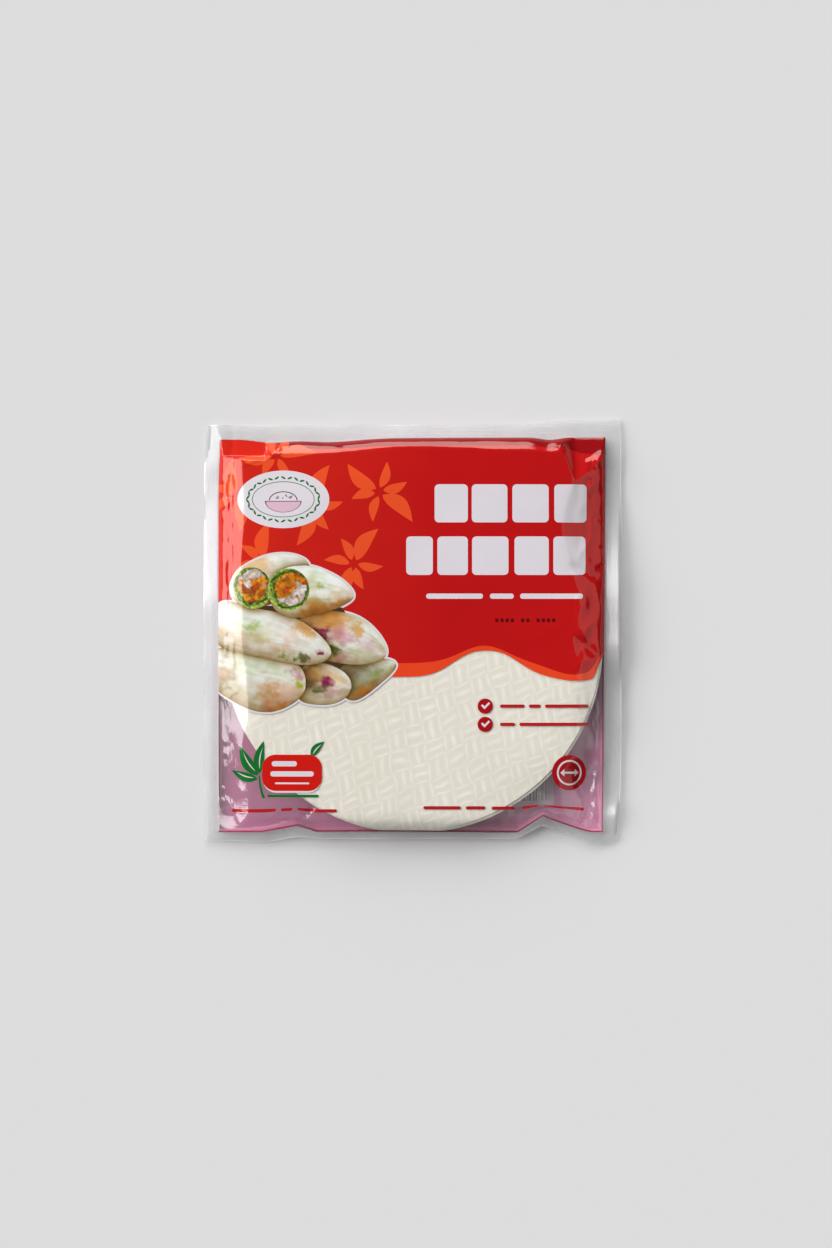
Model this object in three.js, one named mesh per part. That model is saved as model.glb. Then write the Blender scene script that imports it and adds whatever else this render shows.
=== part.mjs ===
import * as THREE from "three";

// A clear bag welded on all four sides round a stack of round rice paper wrappers.
// It lies on its back: X across the face, Y up the face, Z up from the surface, in mm.
// The bag, with what is sealed in it, is one closed solid. Its surface is worked out in
// film coordinates: a across and b up the flat film, before the stack pulls its edges in.

// ---- Driving dimensions ----
const FILM_HALF_WIDTH = 120; // outer edge of the clear margin, from the middle
const FILM_HALF_HEIGHT = 121.5;
const POCKET_LEFT = -111.2; // the welds, where the two films part
const POCKET_RIGHT = 111;
const POCKET_BOTTOM = -115;
const POCKET_TOP = 111.5;

const STACK_X = -0.4; // middle of the stack of wrappers
const STACK_Y = -4.9;
const STACK_SHOULDER = 96; // radius where the film begins to fall away from the stack
const STACK_TOP = 16; // height of the flat face over the stack
const FACE_FALL = 0.075; // fall of the film per mm beyond the shoulder
const SHOULDER_ROUND = 6;

const WELD_THICKNESS = 0.8; // the two welded films of the margin
const WELD_CORNER_Z = 3.4; // height of the weld at the corners
const WELD_MIDDLE_RISE = 3.8; // how much higher it is in the middle of a side
const WELD_RISE_SPREAD = 62;
const MARGIN_FALL = 0.16; // droop of the margin per mm beyond the weld
const LEFT_MARGIN_FALL = { below: 0.12, more: 0.2, at: -30, over: 70 }; // steeper above
const MARGIN_RIPPLE = 0.9;
const MARGIN_RIPPLE_PITCH = 8.5;
const EDGE_BLEND = 20; // how far into the face a pulled-in edge is felt
const CREASE_SOFTNESS = 0.5;
const WALL_ROUND = 1.2; // how far the film takes to leave the weld
const BACK_WALL_RISE = 3;
const BACK_WALL_SLOPE = 0.45;

// How the front film leaves each weld: a short wall, then a facet up to the face.
const SIDES = {
  left: { wall: 2, slope: 0.5 },
  right: { wall: 4.3, slope: 0.33 },
  top: { wall: 4.8, slope: 0.58 },
  bottom: { wall: 4.6, slope: 0.6 },
};
const RIGHT_SLACK = { at: 60, depth: 2.15, spread: 28 }; // a lower wall, so a wider facet
// Towards each top corner the top facet changes: on the left a flat shelf and then a steep
// rise, on the right a lower wall and a gentler slope.
const TOP_LEFT = { from: -106, over: 26, shelf: 7, wall: -4.8, slope: 0.2 };
const TOP_RIGHT = { from: 84, over: 10, wall: -2.3, slope: -0.17 };

// Creases in the front film: from and to in film coordinates, depth and half width.
const CREASES = [
  { from: [-66, -113], to: [-56, -99], depth: 1.3, width: 3.5 },
  { from: [75, -106], to: [70, -92], depth: -1.4, width: 4 },
  { from: [61, -113], to: [58, -101], depth: 1.2, width: 4 },
  { from: [109, -114], to: [94, -84], depth: 1.4, width: 4.5 },
  { from: [-79, 110], to: [-93, 98], depth: 1.2, width: 3.5 },
  { from: [88, 104], to: [79, 110], depth: 1.1, width: 3.5 },
  { from: [91, 38], to: [108, 30], depth: 0.9, width: 4 },
  { from: [94, -4], to: [108, -14], depth: 0.9, width: 4 },
  { from: [-104, -60], to: [-97, -88], depth: 1, width: 4 },
];

// Grid lines: even steps over the face, closer over the facets and the margin.
const FACE_STEPS = 24;
const FACET_LINES = [0, 0.8, 2, 4.2, 7, 10, 13.5, 18];
const MARGIN_LINES = [1, 0.62, 0.28];

// ---- Helpers ----
const bell = (t, centre, spread) => Math.exp(-(((t - centre) / spread) ** 2));
const clamp01 = (t) => Math.min(1, Math.max(0, t));
const smooth = (t) => clamp01(t) ** 2 * (3 - 2 * clamp01(t));
const mix = (p, q, t) => p + (q - p) * t;
const softMin = (p, q) =>
  (p + q - Math.sqrt((p - q) ** 2 + CREASE_SOFTNESS ** 2)) / 2;

// A pleat in an edge: straight up on its left flank, hollow on its right.
function tent(t, centre, height, left, right, hollow = 1) {
  const near = t < centre ? 1 - (centre - t) / left : 1 - (t - centre) / right;
  return height * clamp01(near) ** (t < centre ? 1 : hollow);
}

// ---- Plan: where the weld and the outer edge of each side lie ----
const weldTop = (a) =>
  111.3 + 0.006 * a - 1.9 * bell(a, -81, 12) - 2 * bell(a, -48, 22) - 1.4 * bell(a, 79, 7);
const outerTop = (a) => 119 + 3.2 * smooth((a - 45) / 60);
const weldBottom = (a) =>
  -115.2 +
  tent(a, 74.9, 9.6, 14.5, 30, 1.35) +
  tent(a, -66, 3.8, 20, 11) +
  0.7 * bell(a, -15, 50);
const outerBottom = (a) =>
  -118.9 +
  tent(a, 74.5, 7.8, 15, 26, 1.2) +
  tent(a, -65.5, 1.8, 18, 14) -
  3.2 * bell(a, 107, 11) -
  1.9 * bell(a, -86, 18) -
  1.1 * bell(a, -119, 16);
const weldLeft = (b) => -111.4 + bell(b, 112, 15);
const outerLeft = (b) => -120 + 1.4 * bell(b, 121, 16);
const weldRight = (b) => 111.1 - 0.6 * bell(b, 112, 12) - 1.9 * bell(b, -116, 25);
const outerRight = (b) => 120 - 0.6 * bell(b, 122, 10) - 2.9 * bell(b, -121, 22);

// The shift of one edge, full at the weld, blended to the outer edge and fading inwards.
function shift(depth, margin, atWeld, atOuter) {
  if (depth < 0) return mix(atWeld, atOuter, clamp01(-depth / margin));
  return atWeld * (1 - smooth(depth / EDGE_BLEND));
}

function planOf(a, b) {
  const left = shift(
    a - POCKET_LEFT,
    POCKET_LEFT + FILM_HALF_WIDTH,
    weldLeft(b) - POCKET_LEFT,
    outerLeft(b) + FILM_HALF_WIDTH,
  );
  const right = shift(
    POCKET_RIGHT - a,
    FILM_HALF_WIDTH - POCKET_RIGHT,
    weldRight(b) - POCKET_RIGHT,
    outerRight(b) - FILM_HALF_WIDTH,
  );
  const bottom = shift(
    b - POCKET_BOTTOM,
    POCKET_BOTTOM + FILM_HALF_HEIGHT,
    weldBottom(a) - POCKET_BOTTOM,
    outerBottom(a) + FILM_HALF_HEIGHT,
  );
  const top = shift(
    POCKET_TOP - b,
    FILM_HALF_HEIGHT - POCKET_TOP,
    weldTop(a) - POCKET_TOP,
    outerTop(a) - FILM_HALF_HEIGHT,
  );
  return [a + left + right, b + bottom + top];
}

// ---- Heights ----
const weldZ = (along, centre) =>
  WELD_CORNER_Z + WELD_MIDDLE_RISE * bell(along, centre, WELD_RISE_SPREAD);

// Depth inside each weld, the height of that weld, and the ripple of its margin.
function sidesAt(a, b) {
  const ripple = (along, phase) =>
    Math.sin(along / MARGIN_RIPPLE_PITCH + phase) * Math.sin(along / 23 + 2 * phase);
  const pleat = 3 * bell(a, 74.9, 9) + 1.2 * bell(a, -66, 9);
  const atLeft = 1 - smooth((a - TOP_LEFT.from) / TOP_LEFT.over);
  const atRight = smooth((a - TOP_RIGHT.from) / TOP_RIGHT.over);
  return [
    {
      ...SIDES.left,
      fall:
        LEFT_MARGIN_FALL.below +
        LEFT_MARGIN_FALL.more * smooth((b - LEFT_MARGIN_FALL.at) / LEFT_MARGIN_FALL.over),
      depth: a - POCKET_LEFT,
      weld: weldZ(b, STACK_Y),
      ripple: ripple(b, 0.4),
    },
    {
      ...SIDES.right,
      wall: SIDES.right.wall - RIGHT_SLACK.depth * bell(b, RIGHT_SLACK.at, RIGHT_SLACK.spread),
      depth: POCKET_RIGHT - a,
      weld: weldZ(b, STACK_Y),
      ripple: ripple(b, 1.7),
    },
    {
      wall: SIDES.top.wall + TOP_LEFT.wall * atLeft + TOP_RIGHT.wall * atRight,
      slope: SIDES.top.slope + TOP_LEFT.slope * atLeft + TOP_RIGHT.slope * atRight,
      shelf: TOP_LEFT.shelf * atLeft,
      depth: POCKET_TOP - b,
      weld: weldZ(a, STACK_X),
      ripple: ripple(a, 2.9),
    },
    {
      ...SIDES.bottom,
      depth: b - POCKET_BOTTOM,
      weld: weldZ(a, STACK_X) + pleat,
      ripple: ripple(a, 4.2),
    },
  ];
}

const marginZ = ({ weld, depth, ripple, fall = MARGIN_FALL }) =>
  weld + depth * fall - ripple * MARGIN_RIPPLE * (depth / 9);

const facetZ = ({ weld, wall, slope, depth, shelf = 0 }) =>
  weld + wall * (1 - Math.exp(-depth / WALL_ROUND)) + slope * Math.max(depth - shelf, 0);

function creaseFall(a, b) {
  let fall = 0;
  for (const { from, to, depth, width } of CREASES) {
    const run = [to[0] - from[0], to[1] - from[1]];
    const length = Math.hypot(...run);
    const along = ((a - from[0]) * run[0] + (b - from[1]) * run[1]) / length;
    const aside = Math.abs((a - from[0]) * run[1] - (b - from[1]) * run[0]) / length;
    const taper = smooth((along + 4) / 8) * smooth((length + 4 - along) / 8);
    fall += depth * taper * bell(aside, 0, width);
  }
  return fall;
}

function frontZ(a, b, x, y) {
  const beyond = Math.hypot(x - STACK_X, y - STACK_Y) - STACK_SHOULDER;
  let z = STACK_TOP - (FACE_FALL * (beyond + Math.hypot(beyond, SHOULDER_ROUND))) / 2;
  let inside = Infinity;
  for (const side of sidesAt(a, b)) {
    z = softMin(z, side.depth > 0 ? facetZ(side) : marginZ(side));
    inside = Math.min(inside, side.depth);
  }
  z -= creaseFall(a, b) * smooth(inside / 6);
  return Math.max(z, WELD_THICKNESS + 0.1);
}

function backZ(a, b, front) {
  const sides = sidesAt(a, b);
  if (Math.min(...sides.map((s) => s.depth)) <= 0) return front - WELD_THICKNESS;
  const rise = sides.map(
    (s) =>
      s.weld -
      WELD_THICKNESS -
      BACK_WALL_RISE * (1 - Math.exp(-s.depth / WALL_ROUND)) -
      BACK_WALL_SLOPE * s.depth,
  );
  return Math.min(Math.max(0, ...rise), front - WELD_THICKNESS);
}

// ---- Grid ----
function gridLines(low, weldLow, weldHigh, high) {
  const first = weldLow + FACET_LINES.at(-1);
  const last = weldHigh - FACET_LINES.at(-1);
  const lines = MARGIN_LINES.map((share) => mix(weldLow, low, share));
  lines.push(...FACET_LINES.map((depth) => weldLow + depth));
  for (let i = 1; i < FACE_STEPS; i++) lines.push(mix(first, last, i / FACE_STEPS));
  lines.push(...FACET_LINES.map((depth) => weldHigh - depth).reverse());
  lines.push(...MARGIN_LINES.map((share) => mix(weldHigh, high, share)).reverse());
  return lines;
}

const columns = gridLines(-FILM_HALF_WIDTH, POCKET_LEFT, POCKET_RIGHT, FILM_HALF_WIDTH);
const rows = gridLines(-FILM_HALF_HEIGHT, POCKET_BOTTOM, POCKET_TOP, FILM_HALF_HEIGHT);

function bagGeometry() {
  const positions = [];
  const faces = [];
  const wide = columns.length;
  const count = wide * rows.length;
  for (const isFront of [true, false]) {
    for (const b of rows) {
      for (const a of columns) {
        const [x, y] = planOf(a, b);
        const front = frontZ(a, b, x, y);
        positions.push(x, y, isFront ? front : backZ(a, b, front));
      }
    }
  }
  const quad = (p, q, r, s) => faces.push(p, q, r, p, r, s);
  for (let j = 0; j + 1 < rows.length; j++) {
    for (let i = 0; i + 1 < wide; i++) {
      const p = j * wide + i;
      quad(p, p + 1, p + wide + 1, p + wide);
      quad(count + p, count + p + wide, count + p + wide + 1, count + p + 1);
    }
  }
  const border = [];
  for (let i = 0; i + 1 < wide; i++) border.push(i);
  for (let j = 0; j + 1 < rows.length; j++) border.push(j * wide + wide - 1);
  for (let i = wide - 1; i > 0; i--) border.push((rows.length - 1) * wide + i);
  for (let j = rows.length - 1; j > 0; j--) border.push(j * wide);
  border.forEach((p, i) => {
    const next = border[(i + 1) % border.length];
    quad(p, p + count, next + count, next);
  });
  const geometry = new THREE.BufferGeometry();
  geometry.setAttribute("position", new THREE.Float32BufferAttribute(positions, 3));
  geometry.setIndex(faces);
  geometry.computeBoundingBox();
  const { min, max } = geometry.boundingBox;
  geometry.translate(-(min.x + max.x) / 2, -(min.y + max.y) / 2, -min.z);
  geometry.computeVertexNormals();
  return geometry;
}

// ---- Assembly ----
const printedFilm = new THREE.MeshStandardMaterial({
  color: 0xc01b1c,
  roughness: 0.25,
  metalness: 0,
});
const bag = new THREE.Mesh(bagGeometry(), printedFilm);
bag.name = "sealed_bag";

const pack = new THREE.Group();
pack.name = "rice_paper_pack";
pack.add(bag);

export default pack;
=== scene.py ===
import math
import random
from collections import namedtuple

import bpy
import numpy as np
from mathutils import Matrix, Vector, noise
from mathutils.geometry import delaunay_2d_cdt


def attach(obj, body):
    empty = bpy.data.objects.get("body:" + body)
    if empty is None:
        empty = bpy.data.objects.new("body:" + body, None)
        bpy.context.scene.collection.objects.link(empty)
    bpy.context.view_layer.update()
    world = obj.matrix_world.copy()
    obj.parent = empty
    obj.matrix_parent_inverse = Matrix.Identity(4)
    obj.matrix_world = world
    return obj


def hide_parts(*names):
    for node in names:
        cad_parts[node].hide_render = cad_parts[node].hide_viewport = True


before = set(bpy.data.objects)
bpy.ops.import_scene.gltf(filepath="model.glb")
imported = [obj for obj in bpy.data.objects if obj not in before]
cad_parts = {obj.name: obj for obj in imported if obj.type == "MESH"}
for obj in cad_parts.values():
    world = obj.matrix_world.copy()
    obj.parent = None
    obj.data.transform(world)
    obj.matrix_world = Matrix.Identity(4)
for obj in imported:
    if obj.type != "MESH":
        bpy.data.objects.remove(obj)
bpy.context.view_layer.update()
bpy.ops.object.select_all(action="DESELECT")


# ---- Front film ----------------------------------------------------------------------
# The upper of two sheets of clear polypropylene, about 0.05 mm thick and printed on the
# inside. It is nearly square and welded to the back film on all four sides, so it lies flat
# over the stack, turns down to the welds in glossy facets, and crumples where it turns.
#
# Its shape is worked out in the flat film's own millimetres, a across and b up, before the
# stack pulls the welds in; film_plan and front_height then give its place.
MM = 0.001
FILM_A, FILM_B = 120.0, 121.5
WELD_LEFT, WELD_RIGHT, WELD_BOTTOM, WELD_TOP = -111.2, 111.0, -115.0, 111.5

# The stack's centre and top, the radius of its flat middle, and how it falls beyond that.
STACK_X, STACK_Y, STACK_TOP = -0.4, -4.9, 16.0
STACK_FLAT, STACK_FALL, STACK_ROUND = 96.0, 0.075, 6.0

# The welds' height at the corners, and how much and how widely they rise towards the middle
# of a side; how far in from a weld the film is pulled, and how roundly two facets meet; how
# far in the folds reach from the left, right, top and bottom welds; the film's lowest place.
WELD_LOW, WELD_RISE, WELD_SPREAD = 3.4, 3.8, 62.0
EDGE_BLEND, FACET_BLEND = 20.0, 0.35
FOLD_REACH = (9, 15, 5, 9)
LOWEST = 0.9

# The foot is gathered in two puckers, and the right margin is buckled up near its lower end.
PUCKER_RIGHT, PUCKER_LEFT, BUCKLE = 74.9, -66.0, -105.0

# From, to, depth and half width of each crease; a negative depth stands up as a ridge.
CREASES = [
    (-66, -113, -56, -99, 1.3, 2.2), (75, -106, 70, -92, -1.4, 3.0),
    (61, -113, 58, -101, 1.2, 2.5), (109, -114, 94, -84, 1.4, 2.6),
    (-80, 109, -77, 104, -0.7, 1.1), (-77.5, 109.5, -75.5, 104.5, -0.6, 1.0),
    (-78, 103, -96, 96, -0.4, 1.2), (91, 38, 108, 30, 0.9, 3.0), (94, -4, 108, -14, 0.9, 3.0),
    (-104, -60, -97, -88, 1.0, 2.6), (102, -46, 108, -62, 0.7, 2.2),
    (108, -30, 101, -52, -0.6, 2.0), (107, -38, 109, -48, -0.7, 1.0),
    (103.5, -113, 106.5, -97, -2.6, 2.3), (94, -112, 98, -98, -1.8, 2.0),
    (107.5, -78, 105, -94, -2.2, 2.0), (-86, -112, -72, -107, -0.7, 1.3),
    (-98, -110, -106, -96, -0.6, 1.2), (81, 109, 86, 105, -0.7, 1.1),
    (85, 109, 88, 104.5, -0.5, 0.9), (-45, 108, -38, 106, -0.4, 1.4),
]

# Blisters beside the right and left welds: place along a and b, reach and lift.
scatter = random.Random(3)


def blisters(count, *spans):
    """That many blisters, with each of their four values drawn from its span."""
    return [tuple(scatter.uniform(*span) for span in spans) for _ in range(count)]


BLISTERS = blisters(30, (101, 109.5), (60, 103), (1.5, 2.4), (-0.6, 0.6))
BLISTERS += blisters(12, (107, 109.5), (18, 60), (1.3, 2.2), (-0.6, 0.2))
BLISTERS += [(-107, -63, 1.8, 0.5), (-107, -69.5, 1.8, 0.45), (-109, -90, 1.4, 0.4),
             (-108.5, -97, 1.6, 0.4)]


def bell(t, centre, spread):
    """1 at the centre, falling off to both sides over the spread."""
    return np.exp(-(((t - centre) / spread) ** 2))


def smooth(t):
    """0 up to t = 0 and 1 from t = 1 on, in a soft step."""
    t = np.clip(t, 0.0, 1.0)
    return t * t * (3 - 2 * t)


def tent(t, centre, height, left, right, hollow=1.0):
    """A peak that falls off over left and right; a hollow over 1 makes its right side sag."""
    near = np.where(t < centre, 1 - (centre - t) / left, 1 - (t - centre) / right)
    return height * np.clip(near, 0.0, 1.0) ** np.where(t < centre, 1.0, hollow)


def pull(depth, margin, at_weld, at_outer):
    """The film's shift across one side: fading out inside the weld, and changing evenly from
    at_weld to at_outer across the margin."""
    share = np.clip(-depth / margin, 0.0, 1.0)
    outside = at_weld + (at_outer - at_weld) * share
    return np.where(depth < 0, outside, at_weld * (1 - smooth(depth / EDGE_BLEND)))


def film_plan(a, b):
    """Where a point of the flat film comes to lie, seen from above: the stack pulls the welds
    and the cut edges in unevenly, most of all at the two puckers."""
    weld_top = (111.3 + 0.006 * a - 1.9 * bell(a, -81, 12) - 2 * bell(a, -48, 22)
                - 1.4 * bell(a, 79, 7))
    outer_top = 119 + 3.2 * smooth((a - 45) / 60)
    weld_bottom = (-115.2 + tent(a, PUCKER_RIGHT, 9.6, 14.5, 30, 1.35)
                   + tent(a, PUCKER_LEFT, 3.8, 20, 11) + 0.7 * bell(a, -15, 50))
    outer_bottom = (-118.9 + tent(a, PUCKER_RIGHT - 0.4, 7.8, 15, 26, 1.2)
                    + tent(a, PUCKER_LEFT + 0.5, 1.8, 18, 14) - 3.2 * bell(a, 107, 11)
                    - 1.9 * bell(a, -86, 18) - 1.1 * bell(a, -119, 16))
    weld_left = -111.4 + bell(b, 112, 15)
    outer_left = -120 + 1.4 * bell(b, 121, 16)
    weld_right = 109.7 + 1.1 * smooth((b + 40) / 150) - 0.4 * bell(b, -116, 25)
    outer_right = 120 - 0.6 * bell(b, 122, 10) - 2.9 * bell(b, -121, 22)
    x = (a + pull(a - WELD_LEFT, WELD_LEFT + FILM_A, weld_left - WELD_LEFT, outer_left + FILM_A)
         + pull(WELD_RIGHT - a, FILM_A - WELD_RIGHT, weld_right - WELD_RIGHT,
                outer_right - FILM_A))
    y = (b + pull(b - WELD_BOTTOM, WELD_BOTTOM + FILM_B, weld_bottom - WELD_BOTTOM,
                  outer_bottom + FILM_B)
         + pull(WELD_TOP - b, FILM_B - WELD_TOP, weld_top - WELD_TOP, outer_top - FILM_B))
    return x, y


def lifted(b):
    """How far the right margin is buckled up along its middle, from 0 to 1."""
    return smooth((b + 35) / 30) * smooth((90 - b) / 50)


# One side of the bag: a point's depth inside its weld, the weld's height, the steep wall
# beside it, the slope beyond, how the margin outside falls and ripples, how roundly the wall
# bends, and how wide a shelf of SHELF_SLOPE lies at its top.
Side = namedtuple("Side", "depth weld wall slope fall ripple bend shelf", defaults=(1.2, 0))
SHELF_SLOPE, RIPPLE_DEPTH = 0.3, 0.1


def film_sides(a, b):
    """The left, right, top and bottom side, as they are at each point of the film."""
    def weld(along, centre):
        return WELD_LOW + WELD_RISE * bell(along, centre, WELD_SPREAD)

    def ripple(along, phase):
        return np.sin(along / 8.5 + phase) * np.sin(along / 23 + 2 * phase)

    pleat = 3 * bell(a, PUCKER_RIGHT, 9) + 1.2 * bell(a, PUCKER_LEFT, 9)
    at_left, at_right = 1 - smooth((a + 85) / 7), smooth((a - 84) / 10)
    left_fall = 0.12 + 0.26 * smooth((b + 30) / 70)
    left_wall = (0.3 + 1.9 * smooth((b + 40) / 40) + 0.8 * bell(b, 38, 18)
                 + 2.2 * smooth((b + 104) / 34) * (1 - smooth((b + 68) / 28)))
    left_slope = 0.45 + 0.06 * smooth((b - 20) / 40) + 0.07 * smooth((-b - 10) / 30)
    right_wall = 4.3 - 2.15 * bell(b, 60, 28) - 2.6 * smooth((-b - 65) / 20)
    right_fall = 0.16 - 0.16 * np.maximum(lifted(b), bell(b, BUCKLE, 12))
    top_wall = 4.4 - 4.4 * at_left - 4.1 * at_right
    top_slope = 0.6 + 2.0 * at_left - 0.24 * at_right
    return [
        Side(depth=a - WELD_LEFT, weld=weld(b, STACK_Y), wall=left_wall, slope=left_slope,
             fall=left_fall, ripple=ripple(b, 0.4)),
        Side(depth=WELD_RIGHT - a, weld=weld(b, STACK_Y), wall=right_wall, slope=0.33,
             fall=right_fall, ripple=ripple(b, 1.7)),
        Side(depth=WELD_TOP - b, weld=weld(a, STACK_X), wall=top_wall, slope=top_slope,
             fall=0.16, ripple=ripple(a, 2.9), bend=0.6, shelf=10 * at_left),
        Side(depth=b - WELD_BOTTOM, weld=weld(a, STACK_X) + pleat, wall=4.6, slope=0.6,
             fall=0.16, ripple=ripple(a, 4.2)),
    ]


def grain(a, b, size_a, size_b, seed):
    """Smooth noise from about -1 to 1, with features of size_a by size_b."""
    flat = zip(np.ravel(a) / size_a, np.ravel(b) / size_b)
    return np.reshape([noise.noise(Vector((u, v, seed))) for u, v in flat], np.shape(a))


def crinkle(a, b, size_a, size_b, seed):
    """Sharp-edged wrinkles, longer along b or a as their sizes say."""
    return 1 - 4 * np.abs(grain(a, b, size_a, size_b, seed))


def draped(a, b, sides):
    """The lowest of the stack's top and the four sides, and the depth inside all welds."""
    x, y = film_plan(a, b)
    beyond = np.hypot(x - STACK_X, y - STACK_Y) - STACK_FLAT
    z = STACK_TOP - STACK_FALL * (beyond + np.hypot(beyond, STACK_ROUND)) / 2
    inside = np.full(np.shape(a), np.inf)
    for depth, weld, wall, slope, fall, ripple, bend, shelf in sides:
        rise = (wall * (1 - np.exp(-np.maximum(depth, 0) / bend))
                + SHELF_SLOPE * np.clip(depth, 0, shelf) + slope * np.maximum(depth - shelf, 0))
        hang = fall * depth - ripple * RIPPLE_DEPTH * depth
        facet = weld + np.where(depth > 0, rise, hang)
        z = (z + facet - np.hypot(z - facet, FACET_BLEND)) / 2
        inside = np.minimum(inside, depth)
    return z, inside


def creased(z, a, b, inside):
    """The same height with the creases in it, which fade out at their ends and at the welds."""
    for a0, b0, a1, b1, depth, width in CREASES:
        length = math.hypot(a1 - a0, b1 - b0)
        along = ((a - a0) * (a1 - a0) + (b - b0) * (b1 - b0)) / length
        aside = ((a - a0) * (b1 - b0) - (b - b0) * (a1 - a0)) / length
        taper = smooth((along + 4) / 8) * smooth((length + 4 - along) / 8)
        from_weld = smooth(inside / (5 if depth > 0 else 2))
        z = z - depth * taper * np.exp(-np.abs(aside / width) ** 1.5) * from_weld
    return z


def fine_folds(a, b, sides):
    """Wrinkles along each side and faint ones all over, but calm in the two top corners."""
    left, right, top, bottom = (1 - smooth((side.depth - reach) / 5)
                                for side, reach in zip(sides, FOLD_REACH))
    upper = smooth((b + 35) / 45)
    calm = 1 - np.maximum(bell(a, -104, 11) * bell(b, 106, 8), bell(a, 101, 12) * bell(b, 107, 9))
    left = left * (0.4 + 0.6 * bell(sides[0].depth, 6, 4))
    folds = (left * (0.12 + 0.2 * upper) * crinkle(a, b, 6.5, 26, 1.3)
             + left * (0.08 + 0.06 * upper) * crinkle(a, b, 3.5, 8, 7.7)
             + 0.3 * right * crinkle(a, b, 9, 16, 3.1) + 0.08 * top * crinkle(a, b, 26, 6, 5.9)
             + 0.34 * bottom * crinkle(a, b, 11, 9, 9.2) + 0.06 * crinkle(a, b, 34, 30, 2.2))
    return folds * calm


def front_height(a, b):
    """Height of the front film over the floor."""
    sides = film_sides(a, b)
    from_left, from_right = sides[0].depth, sides[1].depth
    z, inside = draped(a, b, sides)
    z = creased(z, a, b, inside)
    for ca, cb, reach, lift in BLISTERS:
        near = ((a - ca) ** 2 + (b - cb) ** 2) / reach ** 2
        z = z + lift * np.exp(-near) * smooth(inside / 2)
    # A shallow channel runs up the left side, above its middle.
    z = z - 0.5 * smooth((b - 5) / 20) * bell(from_left, 7, 2.5)
    z = z + fine_folds(a, b, sides) * smooth(inside / 3)
    # The margin fans out in small folds at the foot, and is buckled up along its right side.
    fan = bell(a, -74, 12) + bell(a, 78, 15)
    z = z + 0.5 * fan * smooth((WELD_BOTTOM - b) / 2) * crinkle(a + 0.6 * b, b, 3.2, 22, 6.6)
    buckle = 3.2 * lifted(b) + 3.6 * bell(b, BUCKLE, 9)
    z = z + buckle * np.interp(-from_right, (0, 2.5, 7.5, 9), (0, 0.3, 1, 0.5))
    return np.maximum(z, LOWEST)


# The inks lie on the inside of the film, so each colour is a field of the film itself with
# sharp edges. The print is a list of inks and outlines; where they overlap, the last one shows.
def oval(ca, cb, ra, rb, turn=0.0, steps=48):
    """An ellipse round (ca, cb), turned by an angle."""
    points = []
    for i in range(steps):
        u = ra * math.cos(2 * math.pi * i / steps)
        v = rb * math.sin(2 * math.pi * i / steps)
        points.append((ca + u * math.cos(turn) - v * math.sin(turn),
                       cb + u * math.sin(turn) + v * math.cos(turn)))
    return points


def block(a0, a1, b0, b1, radius, steps=5):
    """A rectangle with rounded corners."""
    points = []
    corners = [(a1, b1, 0), (a0, b1, 1), (a0, b0, 2), (a1, b0, 3)]
    for ca, cb, quarter in corners:
        ma = ca - radius if ca == a1 else ca + radius
        mb = cb - radius if cb == b1 else cb + radius
        for i in range(steps + 1):
            angle = math.pi / 2 * (quarter + i / steps)
            points.append((ma + radius * math.cos(angle), mb + radius * math.sin(angle)))
    return points


def petal(ca, cb, angle, start, length, width, bend, steps=14):
    """A pointed leaf on a bent axis, from start to start + length away from (ca, cb)."""
    upper, lower = [], []
    for i in range(steps + 1):
        t = i / steps
        half = width / 2 * math.sin(math.pi * t ** 0.85) ** 0.9 * (1 - 0.2 * t)
        if i in (0, steps):
            half = 0.0
        along = start + length * t
        across = bend * math.sin(math.pi * t) * length
        for side, row in ((1, upper), (-1, lower)):
            v = across + side * half
            row.append((ca + along * math.cos(angle) - v * math.sin(angle),
                        cb + along * math.sin(angle) + v * math.cos(angle)))
    return lower[:-1] + upper[:0:-1]


def wave(height, step=2.0):
    """All of the pocket above a wavy edge."""
    count = int((WELD_RIGHT - WELD_LEFT) / step)
    across = np.linspace(WELD_LEFT, WELD_RIGHT, count)
    edge = [(float(a), float(height(a))) for a in across]
    return edge + [(WELD_RIGHT, WELD_TOP), (WELD_LEFT, WELD_TOP)]


def red_edge(a):
    """The lower edge of the red ground."""
    return -17.8 + 10 * bell(a, 41, 19) - 6.5 * bell(a, 92, 17) + 8 * smooth((a - 101) / 10)


def orange_edge(a):
    """The lower edge of the orange band, which shows below the red."""
    return (-25.6 + 15 * np.exp(-np.abs((a - 42) / 23) ** 2.5) - 2.3 * bell(a, 94, 14)
            + 14 * smooth((a - 103) / 9))


# The third ink, darker red over the top facets and the top right corner, is painted shade: these
# facets turn away from the light.
front_print = [("orange_band", wave(orange_edge)), ("red_ground", wave(red_edge)),
               ("red_deep", [(-79, WELD_TOP), (-72, WELD_TOP - 4.6), (84, WELD_TOP - 5),
                             (96, WELD_TOP - 9), (WELD_RIGHT, WELD_TOP - 10),
                             (WELD_RIGHT, WELD_TOP)])]

# Blossoms: centre, turn and size; each has two long petals and four short ones.
PETALS = [(0, 20, 8.4), (62, 12.5, 5.4), (118, 13.5, 5.2), (180, 19, 7.6), (236, 12, 5.4),
          (300, 13, 5.0)]
for ca, cb, turn, size in [(-19, 80, -42, 1.15), (-33.5, 39, 55, 1.1), (-78, 102, 4, 1.05),
                           (-57, 72, 68, 1.15), (-86, 40, 80, 1.05), (-101, 78, 96, 1.0)]:
    for angle, length, width in PETALS:
        bend = 0.11 if length > 14 else -0.09
        leaf = petal(ca, cb, math.radians(angle + turn), 2.2 * size, length * size,
                     width * size, bend)
        leaf = [(min(max(a, WELD_LEFT), WELD_RIGHT), min(b, WELD_TOP)) for a, b in leaf]
        front_print.append(("orange_petal", leaf))


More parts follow.
